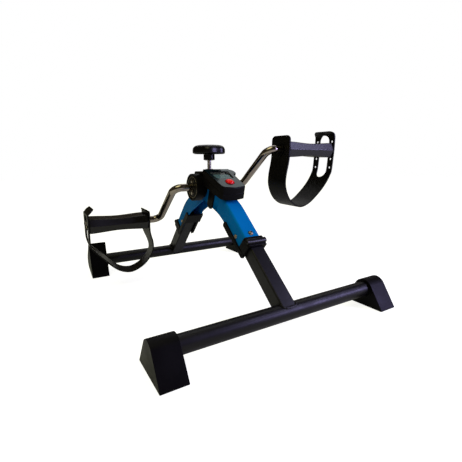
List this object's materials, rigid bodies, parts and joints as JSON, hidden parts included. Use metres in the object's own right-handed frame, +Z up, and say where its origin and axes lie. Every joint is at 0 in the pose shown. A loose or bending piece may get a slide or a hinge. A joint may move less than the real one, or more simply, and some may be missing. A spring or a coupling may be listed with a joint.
{
  "type": "folding pedal exerciser",
  "caption": "Folding under-desk pedal exerciser: cranked axle with strapped pedals on two hinged legs, friction brake knob and counter console.",
  "frame": {"origin": "on the floor under the middle of the whole object's box", "axes": "+X to the user's right as seen from the front bar, +Y from the front bar to the rear bar, +Z up"},
  "size_m": [0.4284, 0.4956, 0.2984],
  "materials": {
    "blue_paint": "gloss blue powder coat",
    "black_paint": "gloss black enamel",
    "black_plastic": "fine moulded grain",
    "gloss_black": "polished moulding",
    "chrome": "bright chrome plate",
    "steel": "zinc-plated steel",
    "brassy_steel": "yellow passivated rivet steel",
    "strap_rubber": "satin flexible vinyl",
    "console_grey": "satin blue-grey moulding",
    "red_plastic": "gloss moulding",
    "clear_plastic": "clear tinted window",
    "display_glass": "grey-green display",
    "board_green": "solder mask",
    "brake_felt": "dense felt"
  },
  "bodies": {
    "frame": {"front_arm": "blue_paint", "rear_arm": "blue_paint", "front_hinge_pin": "brassy_steel", "rear_hinge_pin": "brassy_steel", "front_stop_rivet": "brassy_steel", "rear_stop_rivet": "brassy_steel", "front_hinge_collar": "black_plastic", "rear_hinge_collar": "black_plastic", "hub_tube": "black_paint", "hub_housing": "black_plastic", "left_hub_cover": "black_plastic", "right_hub_cover": "black_plastic", "left_upper_cover_bolt": "chrome", "left_lower_cover_bolt": "chrome", "right_upper_cover_bolt": "chrome", "right_lower_cover_bolt": "chrome", "left_axle_bush": "black_plastic", "right_axle_bush": "black_plastic", "tension_nut": "steel", "reed_switch": "clear_plastic", "console_saddle": "black_plastic", "console_base": "black_plastic", "console_top": "console_grey", "lcd_window": "clear_plastic", "lcd_display": "display_glass", "circuit_board": "board_green", "button_cell": "steel", "battery_cover": "black_plastic"},
    "front_leg_assembly": {"front_leg": "black_paint", "front_base_bar": "black_paint", "front_left_end_cap": "black_plastic", "front_right_end_cap": "black_plastic"},
    "rear_leg_assembly": {"rear_leg": "black_paint", "rear_base_bar": "black_paint", "rear_left_end_cap": "black_plastic", "rear_right_end_cap": "black_plastic"},
    "front_clip": {"front_lock_clip": "black_plastic"},
    "rear_clip": {"rear_lock_clip": "black_plastic"},
    "crank": {"left_crank": "chrome", "right_crank": "chrome", "brake_drum": "steel", "crank_magnet": "steel", "left_axle_washer": "steel", "right_axle_washer": "steel", "left_push_nut": "steel", "right_push_nut": "steel"},
    "left_pedal_assembly": {"left_pedal": "black_plastic", "left_pedal_strap": "strap_rubber"},
    "right_pedal_assembly": {"right_pedal": "black_plastic", "right_pedal_strap": "strap_rubber"},
    "brake_shoe": {"brake_pad": "brake_felt", "pad_holder": "steel"},
    "knob": {"tension_screw": "steel", "tension_knob": "gloss_black"},
    "button": {"reset_button": "red_plastic"}
  },
  "joints": [
    {"name": "front_leg_fold", "type": "hinge", "parent": "frame", "child": "front_leg_assembly", "pos_m": [0, -0.09851, 0.11944], "axis": [1, 0, 0], "range_deg": [0, 75]},
    {"name": "rear_leg_fold", "type": "hinge", "parent": "frame", "child": "rear_leg_assembly", "pos_m": [0, 0.12332, 0.11353], "axis": [-1, 0, 0], "range_deg": [0, 75]},
    {"name": "front_clip_swing", "type": "hinge", "parent": "frame", "child": "front_clip", "pos_m": [0, -0.119, 0.09264], "axis": [-1, 0, 0], "range_deg": [0, 30]},
    {"name": "rear_clip_swing", "type": "hinge", "parent": "frame", "child": "rear_clip", "pos_m": [0, 0.14116, 0.0849], "axis": [1, 0, 0], "range_deg": [0, 30]},
    {"name": "crank_spin", "type": "hinge", "parent": "frame", "child": "crank", "pos_m": [0, 0.0191, 0.194], "axis": [1, 0, 0], "continuous": true},
    {"name": "left_pedal_spin", "type": "hinge", "parent": "crank", "child": "left_pedal_assembly", "pos_m": [-0.1567, 0.10602, 0.12658], "axis": [1, 0, 0], "continuous": true},
    {"name": "right_pedal_spin", "type": "hinge", "parent": "crank", "child": "right_pedal_assembly", "pos_m": [0.1567, -0.06782, 0.26142], "axis": [1, 0, 0], "continuous": true},
    {"name": "brake_press", "type": "slide", "parent": "frame", "child": "brake_shoe", "axis": [0, 0, -1], "range_m": [0, 0.0025]},
    {"name": "knob_turn", "type": "hinge", "parent": "brake_shoe", "child": "knob", "pos_m": [0, 0.0191, 0.254], "axis": [0, 0, -1], "range_deg": [0, 720]},
    {"name": "reset_press", "type": "slide", "parent": "frame", "child": "button", "axis": [0, 0.4023, -0.9155], "range_m": [0, 0.0015], "stiffness_N_per_m": 400}
  ],
  "couplings": [
    {"joint": "brake_press", "follows": "knob_turn", "m_per_rad": 0.00019894}
  ]
}
